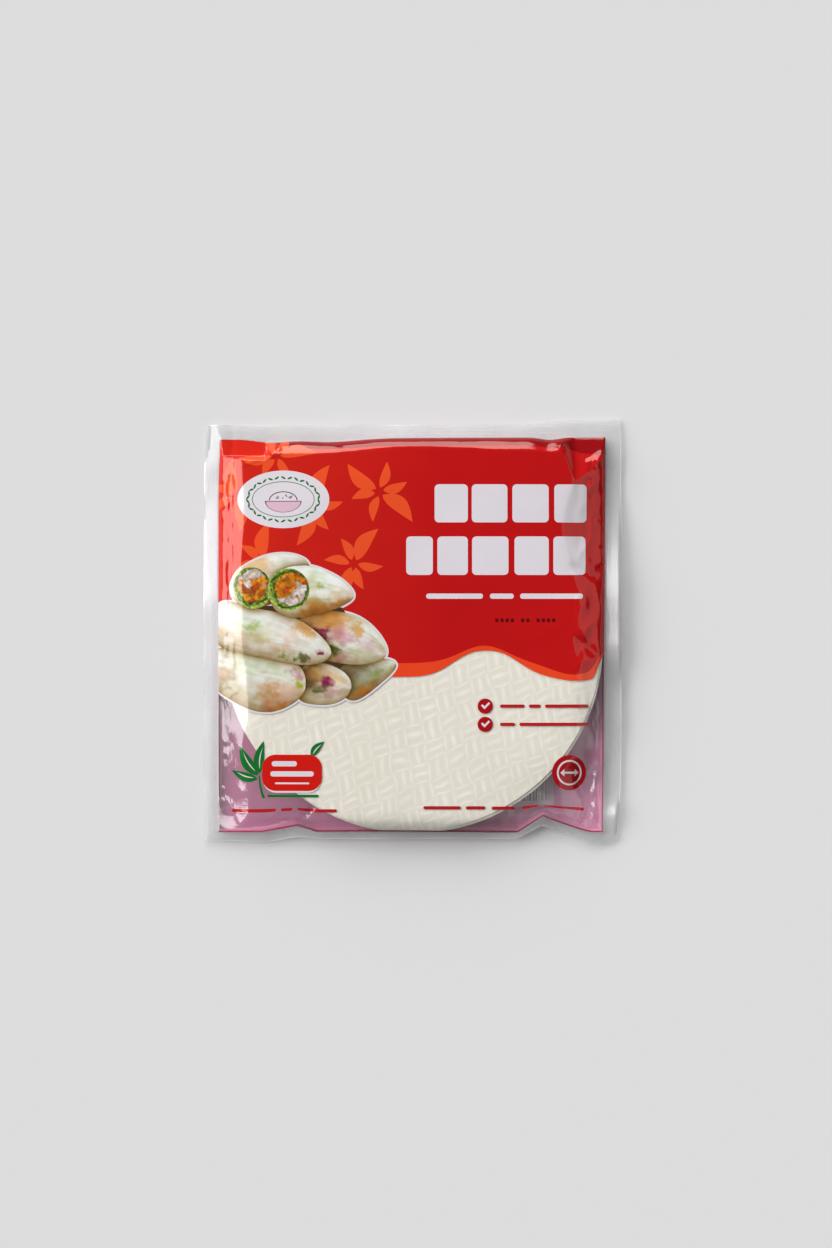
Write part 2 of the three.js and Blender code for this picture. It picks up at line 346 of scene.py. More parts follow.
def print_row(ink, spans, b0, b1, radius, steps=5):
    """Prints a row of rounded blocks from b0 to b1, one for each span of a."""
    for a0, a1 in spans:
        front_print.append((ink, block(a0, a1, b0, b1, radius, steps)))


# Two rows of plain rounded blocks, three thin bars, and a row of small dark marks.
MARK_A, MARK_WIDTH, MARK_STEP, MARKS, NO_MARKS = 47.2, 1.9, 2.95, 12, (4, 7)
print_row("white_ink", [(12.6, 31.6), (33.8, 54.2), (57.0, 77.8), (81.0, 99.8)], 62.6, 84.4, 2.4)
print_row("white_ink", [(-3.6, 11.6), (14.2, 31.6), (34.0, 54.8), (58.2, 77.8), (80.4, 99.2)],
          32.6, 54.6, 2.4)
print_row("white_ink", [(7.8, 40.2), (44.2, 57.8), (61.4, 97.6)], 19.0, 22.0, 1.4)
mark_starts = [MARK_A + MARK_STEP * i for i in range(MARKS) if i not in NO_MARKS]
print_row("dark_mark", [(a0, a0 + MARK_WIDTH) for a0 in mark_starts], 5.6, 7.8, 0.5, 2)

# Oval badge: a thin green rule, a ring of small leaves and a plain bowl of rice.
OVAL_A, OVAL_B = -73.8, 75.8
RING_A, RING_B, RING_LEAVES = 20.4, 12.4, 34
for ink, ra, rb, steps in [("white_ink", 26.3, 16.5, 90), ("leaf_green", 17.9, 10.3, 72),
                           ("white_ink", 17.5, 9.9, 72)]:
    front_print.append((ink, oval(OVAL_A, OVAL_B, ra, rb, 0, steps)))
for i in range(RING_LEAVES):
    angle = 2 * math.pi * (i + 0.5) / RING_LEAVES
    ca, cb = OVAL_A + RING_A * math.cos(angle), OVAL_B + RING_B * math.sin(angle)
    heading = math.atan2(RING_B * math.cos(angle), -RING_A * math.sin(angle))
    tilt = 0.5 if i % 2 else -0.5
    front_print.append(("leaf_green", oval(ca, cb, 1.5, 0.55, heading + tilt, 12)))
mound = [(OVAL_A + 8.2 * math.cos(t), OVAL_B - 0.6 + 5.2 * math.sin(t))
         for t in np.linspace(0, math.pi, 21)]
front_print.append(("plum_line", mound))
front_print.append(("white_ink", [(OVAL_A + (a - OVAL_A) * 0.93, OVAL_B - 0.6
                                   + (b - OVAL_B + 0.6) * 0.9) for a, b in mound]))
bowl = [(OVAL_A + 10.5 * math.cos(t), OVAL_B - 0.9 + 6.6 * math.sin(t))
        for t in np.linspace(math.pi, 2 * math.pi, 25)]
front_print.append(("plum_line", bowl))
front_print.append(("pale_pink", [(OVAL_A + (a - OVAL_A) * 0.94, OVAL_B - 1.3
                                   + (b - OVAL_B + 0.9) * 0.9) for a, b in bowl]))
rice = random.Random(4)
for i in range(13):
    ca = OVAL_A + rice.uniform(-5.6, 5.6)
    cb = OVAL_B + 0.6 + rice.uniform(0, 2.9) * (1 - abs(ca - OVAL_A) / 9)
    front_print.append(("plum_line", oval(ca, cb, 0.62, 0.26, rice.uniform(-1.2, 1.2), 10)))

# Two round ticks with red bars beside them, over the window.
TICK_A, TICK_RADIUS, BAR_HALF, BAR_ROUND = 41.5, 4.35, 0.95, 0.9
for cb, bars in [(-42.3, [(49.9, 64.0), (66.4, 73.2), (75.6, 101.4)]),
                 (-52.7, [(49.9, 58.6), (61.0, 101.2)])]:
    front_print.append(("badge_red", oval(TICK_A, cb, TICK_RADIUS, TICK_RADIUS, 0, 40)))
    front_print.append(("white_ink", [(41.1, cb - 1.8), (44.3, cb + 1.5), (43.5, cb + 2.3),
                                      (41.1, cb - 0.1), (40.0, cb + 1.1), (39.1, cb + 0.3)]))
    print_row("red_line", bars, cb - BAR_HALF, cb + BAR_HALF, BAR_ROUND, 3)

# Round badge: a ring and a double arrow across it.
ROUND_A, ROUND_B, ARROW_TOP, ARROW_FOOT = 89.8, -80.4, -78.3, -82.5
for ink, radius, steps in [("badge_red", 10.1, 64), ("white_ink", 7.3, 56), ("badge_red", 6.3, 56)]:
    front_print.append((ink, oval(ROUND_A, ROUND_B, radius, radius, 0, steps)))
print_row("white_ink", [(86.2, 93.4)], -81.0, -79.8, 0.3, 2)
for way in (-1, 1):
    head = [(ROUND_A + way * 5.4, ROUND_B), (ROUND_A + way * 3.0, ARROW_TOP),
            (ROUND_A + way * 3.0, ARROW_FOOT)]
    front_print.append(("white_ink", head[::-1] if way > 0 else head))

# Thin bars along the foot of the bag.
for cb, bars in [(-102.2, [(-103.4, -78.0), (-75.2, -68.6), (-65.8, -43.2)]),
                 (-100.4, [(6.2, 27.6), (30.4, 41.6)]), (-100.6, [(45.2, 58.4), (62.6, 71.8)]),
                 (-101.6, [(75.4, 98.8)])]:
    print_row("red_line", bars, cb - BAR_HALF, cb + BAR_HALF, BAR_ROUND, 3)

# Leaf badge: a sprig of three leaves and a single one, and a red cushion with plain bars over
# a green rule.
stem = [(-88.0 + 2.2 * t * t, -82 - 13 * t) for t in np.linspace(0, 1, 12)]
stem_back = [(a + 0.9 + 0.07 * i, b) for i, (a, b) in enumerate(stem)][::-1]
front_print.append(("leaf_green", stem + stem_back))
for ca, cb, angle, length, width in [(-88.4, -84.0, 162, 16, 6.0), (-88.2, -82.0, 122, 20, 7.4),
                                     (-87.6, -81.0, 82, 19, 6.6), (-58.0, -71.0, 48, 11.5, 5.0)]:
    for ink, first, size, thick in [("leaf_green", 0, length, width),
                                    ("white_ink", 0.14 * length, 0.66 * length, 0.7)]:
        front_print.append((ink, petal(ca, cb, math.radians(angle), first, size, thick, 0.07)))
front_print.append(("leaf_green", block(-83.0, -53.6, -94.4, -92.9, 0.7, 3)))
front_print.append(("white_ink", block(-85.4, -52.2, -91.8, -74.0, 7.4, 8)))
front_print.append(("badge_bright", block(-85.9, -51.7, -90.8, -70.0, 7.7, 8)))
for a0, a1, cb, half in [(-80.4, -66.0, -75.2, 1.5), (-81.2, -56.4, -81.0, 1.5),
                         (-78.6, -59.0, -86.4, 0.5)]:
    print_row("white_ink", [(a0, a1)], cb - half, cb + half, half * 0.9, 3)

# Picture of stuffed rolls in a pile, those that lie behind first. Each has its axis from and
# to, its half widths on both sides at equal steps along the axis, and what shows through its
# skin: place along, place across, reach, strength and what it is.
ROLLS = [
    ((-41, -34), (-9.5, -18), (10, 13, 12, 10.6, 9, 6.5, 4), (8, 9, 8.6, 7.4, 6, 4.6, 3),
     [(0.4, 0.0, 1.3, 0.55, "olive"), (0.7, -0.1, 0.4, 0.75, "herb"),
      (0.35, -0.6, 0.5, 0.8, "carrot"), (0.3, 0.7, 0.8, 0.6, "shade")]),
    ((-66, -27), (-35, -32), (8, 10, 11.4, 11.6, 10.5, 8.5, 6), (12, 12.7, 12.8, 12.4, 11.5, 9, 6),
     [(0.1, 0.2, 1.0, 0.9, "shade"), (0.35, 0.4, 0.6, 0.6, "toasted"),
      (0.52, 0.05, 0.3, 1.0, "cabbage"), (0.5, -0.3, 0.26, 0.9, "olive"),
      (0.8, 0.4, 0.5, 0.4, "toasted"), (0.72, -0.4, 0.4, 0.4, "radish")]),
    ((-118, -18), (-61.5, -33), (13, 12, 11.5, 12, 13.5, 14.5, 12), (11, 14, 17, 19, 19, 15, 8),
     [(0.84, -0.3, 0.7, 0.6, "prawn"), (0.92, 0.6, 0.3, 0.75, "radish"),
      (0.97, 0.15, 0.3, 1.0, "lime"), (0.72, -0.8, 0.6, 0.8, "prawn"),
      (0.45, 0.6, 0.9, 0.45, "pale_leaf"), (0.66, -0.3, 0.4, 0.5, "toasted"),
      (0.8, -0.9, 0.3, 0.7, "carrot")]),
    ((-66, 4), (-15, -13), (10, 12.5, 14.5, 16, 15, 11, 6), (11, 13, 14, 13.5, 12, 9, 5),
     [(0.3, 0.7, 1.0, 0.95, "toasted"), (0.3, -0.05, 0.34, 0.9, "cabbage"),
      (0.5, 0.15, 0.5, 0.7, "radish"), (0.44, -0.5, 0.26, 0.95, "leaf"),
      (0.62, 0.55, 0.3, 0.7, "toasted"), (0.84, 0.2, 0.6, 0.3, "radish"),
      (0.55, -0.7, 0.34, 0.5, "radish"), (0.1, -0.2, 0.5, 0.9, "shade")]),
    ((-118, 4), (-46.5, -12.5), (18, 17, 15.5, 16.5, 16, 11.5, 6), (10, 11, 11, 10.6, 10.6, 10, 7),
     [(0.36, 0.2, 0.7, 0.5, "pale_leaf"), (0.36, 0.3, 0.24, 0.6, "herb"),
      (0.76, 0.85, 0.5, 0.8, "toasted"), (0.66, -0.65, 0.22, 0.8, "herb"),
      (0.8, -0.6, 0.3, 0.9, "olive"), (0.92, -0.15, 0.17, 0.95, "cabbage"),
      (0.75, -0.7, 0.16, 0.9, "leaf")]),
    ((-103, 21), (-59, 38.5), (8, 12, 13.5, 14, 13, 10, 6), (8, 12, 13, 13, 12, 9, 5),
     [(0.35, 0.7, 0.9, 0.6, "toasted"), (0.75, 0.3, 0.5, 0.4, "pale_leaf")]),
    ((-82, 24), (-33.5, 20.5), (10, 13.5, 15.4, 15.6, 13, 9.5, 5), (11, 14, 15, 13.4, 10.5, 7.5, 4),
     [(0.56, -0.8, 0.7, 1.0, "toasted"), (0.55, 0.5, 0.6, 0.45, "pale_leaf"),
      (0.85, -0.6, 0.4, 0.8, "toasted"), (0.62, 0.3, 0.16, 0.7, "herb")]),
]
PICTURE = {
    "skin": (240, 240, 232), "toasted": (214, 152, 80), "herb": (158, 180, 92),
    "pale_leaf": (206, 222, 182), "leaf": (96, 124, 44), "olive": (112, 116, 74),
    "cabbage": (138, 38, 82), "radish": (206, 136, 154), "prawn": (232, 182, 150),
    "lime": (190, 196, 60), "carrot": (226, 146, 58), "shade": (112, 90, 60),
}
OUTLINE_STEPS, PAPER_RIM = 64, 1.1

# Cut ends: centre, half width and height, and which way their noodles and leaves lie.
CUT_ENDS = {5: (-91.5, 25.2, 10.9, 11.9, 100, 250), 6: (-70.8, 24.3, 12.0, 12.0, -50, 190)}
STRANDS = [(222, 128, 32), (232, 152, 46), (198, 82, 40), (226, 140, 38), (168, 92, 44)]
NOODLES = [(240, 230, 222), (226, 208, 196), (236, 220, 210), (206, 186, 170)]

# How far out, as a share, the leaves begin, and then their pale edge.
LEAF_FROM, LEAF_EDGE = 0.76, 0.98


def roll_half(t, widths):
    """Half width at t of the way along, rounded off at both ends."""
    steps = np.linspace(0, 1, len(widths))
    plump = sum(np.interp(t + shift, steps, widths) for shift in (-0.07, 0.0, 0.07)) / 3
    return plump * np.clip(1 - np.abs(2 * t - 1) ** 7, 0, 1) ** 0.5


def roll_axis(start, end):
    """The length of a roll and the way that it points."""
    length = math.hypot(end[0] - start[0], end[1] - start[1])
    return length, (end[0] - start[0]) / length, (end[1] - start[1]) / length


def roll_outline(start, end, upper, lower, grown=0.0):
    """The outline of a plump roll, kept on the printed part of the film."""
    length, ua, ub = roll_axis(start, end)
    points = []
    for i in range(OUTLINE_STEPS):
        angle = 2 * math.pi * i / OUTLINE_STEPS
        t = 0.5 - 0.5 * math.cos(angle)
        half = roll_half(t, upper) if angle < math.pi else -roll_half(t, lower)
        across = float(half) + grown * math.sin(angle)
        along = length * t - grown * math.cos(angle)
        points.append((max(start[0] + ua * along - ub * across, WELD_LEFT),
                       start[1] + ub * along + ua * across))
    return points[::-1]


# A white rim round the whole pile, the dark gaps between the rolls, and then the rolls.
for roll in ROLLS:
    front_print.append(("white_ink", roll_outline(*roll[:4], grown=PAPER_RIM)))
front_print.append(("gap_shade", [(-108, 14), (-58, 16), (-40, 14), (-24, -13), (-30, -30),
                                  (-46, -34), (-62, -36), (-108, -12)]))
for number, roll in enumerate(ROLLS):
    front_print.append((f"roll_{number}", roll_outline(*roll[:4])))
    if number in CUT_ENDS:
        front_print.append((f"end_{number}", oval(*CUT_ENDS[number][:4], 0.3, 44)))


# The mesh is cut along every edge of the print, so that each colour has its own faces; its
# normals are those of the worked-out surface, so that it shines evenly. Points closer than
# SNAP become one.
FACET_WIDTH, MARGIN_LINES, MAP_SPAN, SNAP = 24.0, 9, 256.0, 1e-4


def film_lines(low, weld_low, weld_high, high, fine, coarse):
    """Places of the mesh's lines across the film: fine over the facets, coarse between them."""
    parts = [np.linspace(low, weld_low, MARGIN_LINES)[:-1],
             np.arange(weld_low, weld_low + FACET_WIDTH, fine),
             np.linspace(weld_low + FACET_WIDTH, weld_high - FACET_WIDTH,
                         int((weld_high - weld_low - 2 * FACET_WIDTH) / coarse)),
             np.arange(weld_high, weld_high - FACET_WIDTH, -fine)[::-1][:-1],
             np.linspace(weld_high, high, MARGIN_LINES)]
    return np.concatenate(parts)


def stepped(outline, longest=1.4):
    """The same outline with points close enough to follow the film's curves."""
    points = []
    for (a0, b0), (a1, b1) in zip(outline, outline[1:] + outline[:1]):
        count = max(1, math.ceil(math.hypot(a1 - a0, b1 - b0) / longest))
        points += [(a0 + (a1 - a0) * i / count, b0 + (b1 - b0) * i / count) for i in range(count)]
    return points


def cut_film(shapes, fine, coarse, extra):
    """The flat film cut along its print: points, triangles and the shape of each triangle."""
    rows = film_lines(-FILM_B, WELD_BOTTOM, WELD_TOP, FILM_B, fine, coarse)
    columns = film_lines(-FILM_A, WELD_LEFT, WELD_RIGHT, FILM_A, fine, coarse)
    points = [(float(a), float(b)) for b in rows for a in columns] + extra
    faces = []
    for ink, outline in shapes:
        outline = stepped(outline)
        turned = sum(p[0] * q[1] - q[0] * p[1] for p, q in zip(outline, outline[1:] + outline[:1]))
        faces.append(list(range(len(points), len(points) + len(outline))))
        points.extend(outline if turned > 0 else outline[::-1])
    made = delaunay_2d_cdt([Vector(p) for p in points], [], faces, 0, SNAP, True)
    flat = np.array([tuple(p) for p in made[0]])
    top_shape = [max(ids) if ids else 0 for ids in made[5]]
    return flat, [list(face) for face in made[2]], top_shape


def film_piece(name, flat, faces, inks, height, facing_up, finishes):
    """Lays a cut film on its surface and gives every face its ink and every point its normal."""
    def place(a, b):
        x, y = film_plan(a, b)
        return np.stack([x, y, height(a, b)], axis=1)

    a, b, step = flat[:, 0], flat[:, 1], 0.12
    across = place(a + step, b) - place(a - step, b)
    up = place(a, b + step) - place(a, b - step)
    normals = np.cross(across, up)
    normals /= np.linalg.norm(normals, axis=1)[:, None]
    if not facing_up:
        normals = -normals
        faces = [face[::-1] for face in faces]
    mesh = bpy.data.meshes.new(name)
    mesh.from_pydata([tuple(p) for p in place(a, b) * MM], [], faces)
    names = list(finishes)
    for finish in names:
        mesh.materials.append(finishes[finish])
    mesh.polygons.foreach_set("material_index", [names.index(ink) for ink in inks])
    mesh.polygons.foreach_set("use_smooth", [True] * len(faces))
    layer = mesh.uv_layers.new(name="Film")
    corners = np.array([i for face in mesh.polygons for i in face.vertices])
    layer.data.foreach_set("uv", (flat[corners] / MAP_SPAN + 0.5).ravel())
    mesh.normals_split_custom_set_from_vertices([tuple(n) for n in normals])
    piece = bpy.data.objects.new(name, mesh)
    bpy.context.scene.collection.objects.link(piece)
    return piece


class Finish:
    """A material under construction: node() adds a node, and Field values do its sums."""
    def __init__(self, name):
        self.material = bpy.data.materials.new(name)
        self.material.use_nodes = True
        self.tree = self.material.node_tree
        self.tree.nodes.clear()

    def node(self, kind, settings=None, outputs=(0,), **sockets):
        """Adds a node; a socket is given by its name, or as i0, i1 and so on by its number."""
        node = self.tree.nodes.new("ShaderNode" + kind)
        for key, value in (settings or {}).items():
            setattr(node, key, value)
        for key, value in sockets.items():
            socket = (node.inputs[int(key[1:])] if key[1:].isdigit()
                      else node.inputs[key.replace("_", " ")])
            if isinstance(value, Field):
                self.tree.links.new(value.socket, socket)
            else:
                socket.default_value = value
        made = [Field(self, node.outputs[i]) for i in outputs]
        return made[0] if len(made) == 1 else made

    def noise(self, at, scale, detail):
        return self.node("TexNoise", Vector=at, Scale=scale, Detail=detail)

    def surface(self, shader):
        self.node("OutputMaterial", outputs=(), Surface=shader)
        return self.material


class Field:
    """One output of a node; + - * and ** add the Math nodes that they stand for."""
    def __init__(self, finish, socket):
        self.finish, self.socket = finish, socket

    def math(self, operation, *others):
        values = {f"i{i}": v for i, v in enumerate((self,) + others)}
        return self.finish.node("Math", {"operation": operation}, **values)

    def __add__(self, other):
        return self.math("ADD", other)

    def __mul__(self, other):
        return self.math("MULTIPLY", other)

    def __sub__(self, other):
        return self.math("SUBTRACT", other)

    def __pow__(self, other):
        return self.math("POWER", other)

    def __rsub__(self, other):
        return self.math("MULTIPLY", -1.0) + other

    __radd__, __rmul__ = __add__, __mul__


def linear(r, g, b):
    """A display colour, from 0 to 255, as the linear values that a material takes."""
    return [c / 3294.6 if c <= 10 else ((c / 255 + 0.055) / 1.055) ** 2.4 for c in (r, g, b)]


# The slant from which the shine is held back, about 41 degrees off square; how fast that
# grows, to its full at about 67 degrees; and the most that printed film gives up.
SLANT_FROM, SLANT_GAIN, INK_CALMED = 0.25, 2.8, 0.85


def seen_aslant(make):
    """0 where the film is seen squarely and 1 where it is seen aslant. It shines less there
    than real film would, because a low lamp's reflection would hide the print."""
    slant = make.node("LayerWeight", outputs=(1,), Blend=0.5)
    return ((slant - SLANT_FROM) * SLANT_GAIN).math("MINIMUM", 1.0).math("MAXIMUM", 0.0)


def ink_finish(name, rgb, fades_to=None, start=0.0, reach=0.06):
    """Ink under the glossy film: slightly uneven in density, with the film's faint ripple.
    It can fade to another colour towards the right, which paints light and shade into the ink,
    and takes the picture's colours if rgb is None."""
    make = Finish(name)
    place = make.node("TexCoord", outputs=(3,))
    cloud = make.noise(place, 16.0, 3.0)
    speck = make.noise(place, 900.0, 1.0)
    tone = 0.9 + cloud * 0.18 + speck * 0.03
    if rgb is None:
        colour = make.node("Attribute", {"attribute_name": "Picture"})
    else:
        colour = (*linear(*rgb), 1.0)
    # The fade to a second colour across x is painted light and shade, not a change in the print.
    if fades_to:
        x = make.node("SeparateXYZ", Vector=place)
        colour = make.node("Mix", {"data_type": "RGBA"}, outputs=(2,),
                           i0=(x - start) * (1 / reach), i6=colour, i7=(*linear(*fades_to), 1.0))
    shade = make.node("CombineColor", i0=tone, i1=tone, i2=tone)
    inked = make.node("Mix", {"data_type": "RGBA", "blend_type": "MULTIPLY"}, outputs=(2,),
                      i0=1.0, i6=colour, i7=shade)
    ripple = make.noise(place, 120.0, 2.0)
    bump = make.node("Bump", Strength=0.12, Distance=0.0004, Height=ripple)
    glossy = make.node("BsdfPrincipled", Base_Color=inked, Roughness=0.09, Normal=bump,
                       IOR=1.47, Specular_Tint=(1.0, 0.9, 0.82, 1.0))
    dulled = make.node("BsdfPrincipled", Base_Color=inked, Roughness=0.6, Normal=bump,
                       Specular_IOR_Level=0.2)
    return make.surface(make.node("MixShader", i0=seen_aslant(make) * INK_CALMED, i1=glossy,
                                  i2=dulled))


def clear_finish(name, least, cloudy, rough, metal, dims, relief, calmed=0.0):
    """Bare film, clear but for its haze, which is least where it is seen squarely, uneven by
    cloudy, and stronger aslant, less the share calmed. Lamps meet it dims times as strong."""
    make = Finish(name)
    place = make.node("TexCoord", outputs=(3,))
    x, y, z = make.node("SeparateXYZ", outputs=(0, 1, 2), Vector=place)
    # The ribs are fine across the nearest weld and long along it.
    fine, long = 900, 45
    along_y = make.node("CombineXYZ", i0=x * fine, i1=y * long, i2=z)
    along_x = make.node("CombineXYZ", i0=x * long, i1=y * fine, i2=z)
    upright = ((x.math("ABSOLUTE") - y.math("ABSOLUTE")) * 200 + 0.5).math("MINIMUM", 1.0)
    ribs = make.node("Mix", {"data_type": "FLOAT"}, i0=upright,
                     i2=make.noise(along_x, 1.0, 2.0),
                     i3=make.noise(along_y, 1.0, 2.0))
    streaks = make.noise(place, 70.0, 3.0)
    slant = make.node("LayerWeight", outputs=(1,), Blend=0.5)
    lamp = make.node("LightPath", outputs=(1,))
    bump = make.node("Bump", Strength=0.3, Distance=relief, Height=streaks + ribs * 0.5)
    share = (slant ** 5 * 1.2 + least + (streaks + ribs) * cloudy) * (1 - lamp * (1 - dims))
    share = share * (1 - seen_aslant(make) * calmed)
    shader = make.node("BsdfPrincipled", Base_Color=(0.93, 0.94, 0.95, 1.0), Roughness=rough,
                       Metallic=metal, Normal=bump)
    through = make.node("BsdfTransparent", Color=(1.0, 1.0, 1.0, 1.0))
    return make.surface(make.node("MixShader", i0=share, i1=through, i2=shader))


INKS = {
    # The first ink here is darker red laid where the top facets turn away from the light: painted
    # shade.
    "red_deep": (150, 15, 20), "orange_band": (238, 72, 36), "orange_petal": (240, 84, 42),
    "white_ink": (228, 222, 228), "dark_mark": (96, 14, 20), "leaf_green": (28, 112, 48),
    "plum_line": (92, 40, 74), "pale_pink": (226, 188, 206), "badge_red": (170, 20, 26),
    "badge_bright": (212, 30, 22), "red_line": (182, 34, 38), "gap_shade": (74, 56, 38),
}
film_finishes = {
    "cut_edge": clear_finish("cut_edge", least=0.6, cloudy=0.2, rough=0.25, metal=0.2, dims=0.8,
                             relief=0.0005),
    "weld_film": clear_finish("weld_film", least=0.08, cloudy=0.12, rough=0.26, metal=0.15,
                              dims=1.5, relief=0.0008, calmed=0.45),
    "window_film": clear_finish("window_film", least=0.14, cloudy=0.02, rough=0.09, metal=0.42,
                                dims=0.2, relief=0.0018, calmed=0.75),
}
for ink, rgb in INKS.items():
    film_finishes[ink] = ink_finish(ink, rgb)
# The red ground is painted lighter towards the left, where the main light comes from, and darker
# towards the right: painted light and shade.
film_finishes["red_ground"] = ink_finish("red_ground", (212, 40, 28), (194, 22, 24), -0.1, 0.12)
film_finishes["picture_ink"] = ink_finish("picture_ink", None)

pocket = [(WELD_LEFT, WELD_BOTTOM), (WELD_RIGHT, WELD_BOTTOM), (WELD_RIGHT, WELD_TOP),
          (WELD_LEFT, WELD_TOP)]
whole = [(-FILM_A, -FILM_B), (FILM_A, -FILM_B), (FILM_A, FILM_B), (-FILM_A, FILM_B)]
CUT_WIDTH = 0.4
trimmed = [(a * (1 - CUT_WIDTH / FILM_A), b * (1 - CUT_WIDTH / FILM_B)) for a, b in whole]
front_shapes = [("cut_edge", whole), ("weld_film", trimmed), ("window_film", pocket)] + front_print

# Close points over the picture, because its colours are kept at the points of the mesh.
GRID_A, GRID_B, GRID_STEP, COLUMNS, ROWS = -110.7, -50.0, 0.83, 121, 117
picture_points = [(GRID_A + GRID_STEP * i, GRID_B + GRID_STEP * j)
                  for i in range(COLUMNS) for j in range(ROWS)]
front_flat, front_faces, front_tops = cut_film(front_shapes, 0.95, 1.9, picture_points)
front_inks = [front_shapes[i][0] for i in front_tops]
slots = ["picture_ink" if ink.startswith(("roll_", "end_")) else ink for ink in front_inks]
front_film = film_piece("front_film", front_flat, front_faces, slots, front_height, True,
                        film_finishes)


def roll_colour(number, a, b):
    """Thin rice paper over its filling, lit from the upper left, darker beside what lies on it."""
    start, end, upper, lower, showing = ROLLS[number]
    length, ua, ub = roll_axis(start, end)
    t = ((a - start[0]) * ua + (b - start[1]) * ub) / length
    v = (b - start[1]) * ua - (a - start[0]) * ub
    half = np.where(v > 0, roll_half(t, upper), roll_half(t, lower))
    across = np.clip(v / np.maximum(half, 1.0), -1, 1)
    facing = across * (0.35 * ub + 0.6 * ua) + np.sqrt(1 - across ** 2 * 0.96) * 0.72
    pleats = crinkle(t * length, across * 12, 16, 2.2, number + 9)
    dimples = grain(a, b, 4.5, 3.5, number + 3)
    light = 0.7 + 0.36 * facing + 0.03 * pleats + 0.07 * dimples - 0.1 * smooth((t - 0.8) / 0.2)
    rgb = np.tile(np.array(PICTURE["skin"], float), (len(a), 1))
    chance = random.Random(number + 40)
    faint = [(chance.uniform(0.1, 0.9), chance.uniform(-0.8, 0.8), chance.uniform(0.2, 0.6),
              chance.uniform(0.15, 0.4), chance.choice(["herb", "toasted", "prawn", "pale_leaf"]))
             for _ in range(10)]
    for place, aside, size, strength, tint in faint + showing:
        reach = np.hypot((t - place) * length / 19, across - aside)
        reach = reach + 0.22 * grain(a, b, 5, 4, place * 9)
        reach = reach + 0.16 * grain(a, b, 1.8, 1.5, aside * 7)
        share = (strength * (1 - smooth(reach / size * 1.3 - 0.3)))[:, None]
        rgb = rgb * (1 - share) + np.array(PICTURE[tint]) * share
    for above in ROLLS[number + 1:]:
        rim = np.array(stepped(roll_outline(*above[:4])))
        gap = np.min(np.hypot(a[:, None] - rim[:, 0], b[:, None] - rim[:, 1]), axis=1)
        light = light * (1 - 0.5 * np.exp(-gap / 2.2))
    dimmed = 1 - np.clip(1 - light, -0.06, 1)[:, None] * np.array([0.85, 1.1, 1.5])
    return rgb * dimmed


def end_colour(number, a, b):
    """The cut end of a roll: leaves round the outside, shreds of many colours inside."""
    ca, cb, ra, rb, noodle_way, leaf_way = CUT_ENDS[number]
    u, v = (a - ca) / ra, (b - cb) / rb
    out, angle = np.hypot(u, v), np.arctan2(v, u)
    leafy = out + 0.13 * np.cos(angle - math.radians(leaf_way)) + 0.12 * grain(a, b, 4, 4, number)
    layer = np.sin(out * 34 + 5 * grain(a, b, 5, 5, number + 4))
    pale = (u * math.cos(math.radians(noodle_way)) + v * math.sin(math.radians(noodle_way))
            + 0.7 * grain(a, b, 4, 4, number + 6))
    rough = grain(a, b, 1.3, 1.3, number + 2)
    rgb = []
    for pa, pb, rim, leaf, noodle, speck in zip(a, b, leafy, layer, pale, rough):
        if rim > LEAF_FROM:
            green = np.array([88.0, 112.0, 42.0]) + leaf * np.array([44.0, 50.0, 20.0])
            if rim > LEAF_EDGE:
                green = np.array([166.0, 188.0, 86.0])
            rgb.append(green * (1 + 0.5 * speck))
            continue
        spot = Vector(((pa * 0.8 + pb * 0.6) / 5.2, (pb * 0.8 - pa * 0.6) / 2.8, number))
        near, where = noise.voronoi(spot)
        shreds = NOODLES if noodle > 0.25 else STRANDS
        pick = int(abs(noise.noise(where[0] * 3.7)) * 97) % len(shreds)
        seam = min(1.0, (near[1] - near[0]) * 4)
        rgb.append(np.array(shreds[pick], float) * (0.76 + 0.24 * seam) * (1 + 0.24 * speck))
    return np.array(rgb)


picture = front_film.data.color_attributes.new("Picture", "FLOAT_COLOR", "CORNER")
spots = {}
for face, ink in zip(front_film.data.polygons, front_inks):
    if ink.startswith(("roll_", "end_")):
        for corner in face.loop_indices:
            spots.setdefault(ink, []).append((corner, front_film.data.loops[corner].vertex_index))
for ink, places in spots.items():
    kind, number = ink.split("_")
    points = sorted({point for corner, point in places})
    tint = roll_colour if kind == "roll" else end_colour
    rgb = np.clip(tint(int(number), front_flat[points, 0], front_flat[points, 1]), 11, 250)
    shades = {point: (*linear(*shade), 1.0) for point, shade in zip(points, rgb)}
    for corner, point in places:
        picture.data[corner].color = shades[point]
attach(front_film, "root")
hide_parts("sealed_bag")


# ---- Back film -----------------------------------------------------------------------
# The same film, printed all over in mauve with a dark red line round the edge. A pale panel
# with plain upright stripes of mixed widths is printed on it, low on the right. It lies flat
# under the stack and lifts to meet the front film at the welds.
BACK_GAP, BACK_WALL, BACK_BEND, BACK_SLOPE = 0.14, 3.0, 1.2, 0.45
LINE_A, LINE_B = 0.5, 0.8
STRIPES_FROM, STRIPES_TO = 43.0, 78.0


def back_height(a, b):
    """Flat on the floor, rising to the welds, and everywhere BACK_GAP or more under the front."""
    front = front_height(a, b)
    sides = film_sides(a, b)
    inside = np.minimum.reduce([side.depth for side in sides])
    z = np.zeros(np.shape(a))
    for side in sides:
        drop = BACK_WALL * (1 - np.exp(-np.maximum(side.depth, 0) / BACK_BEND))
        z = np.maximum(z, side.weld - BACK_GAP - drop - BACK_SLOPE * side.depth)
    return np.where(inside <= 0, front - BACK_GAP, np.minimum(z, front - BACK_GAP))


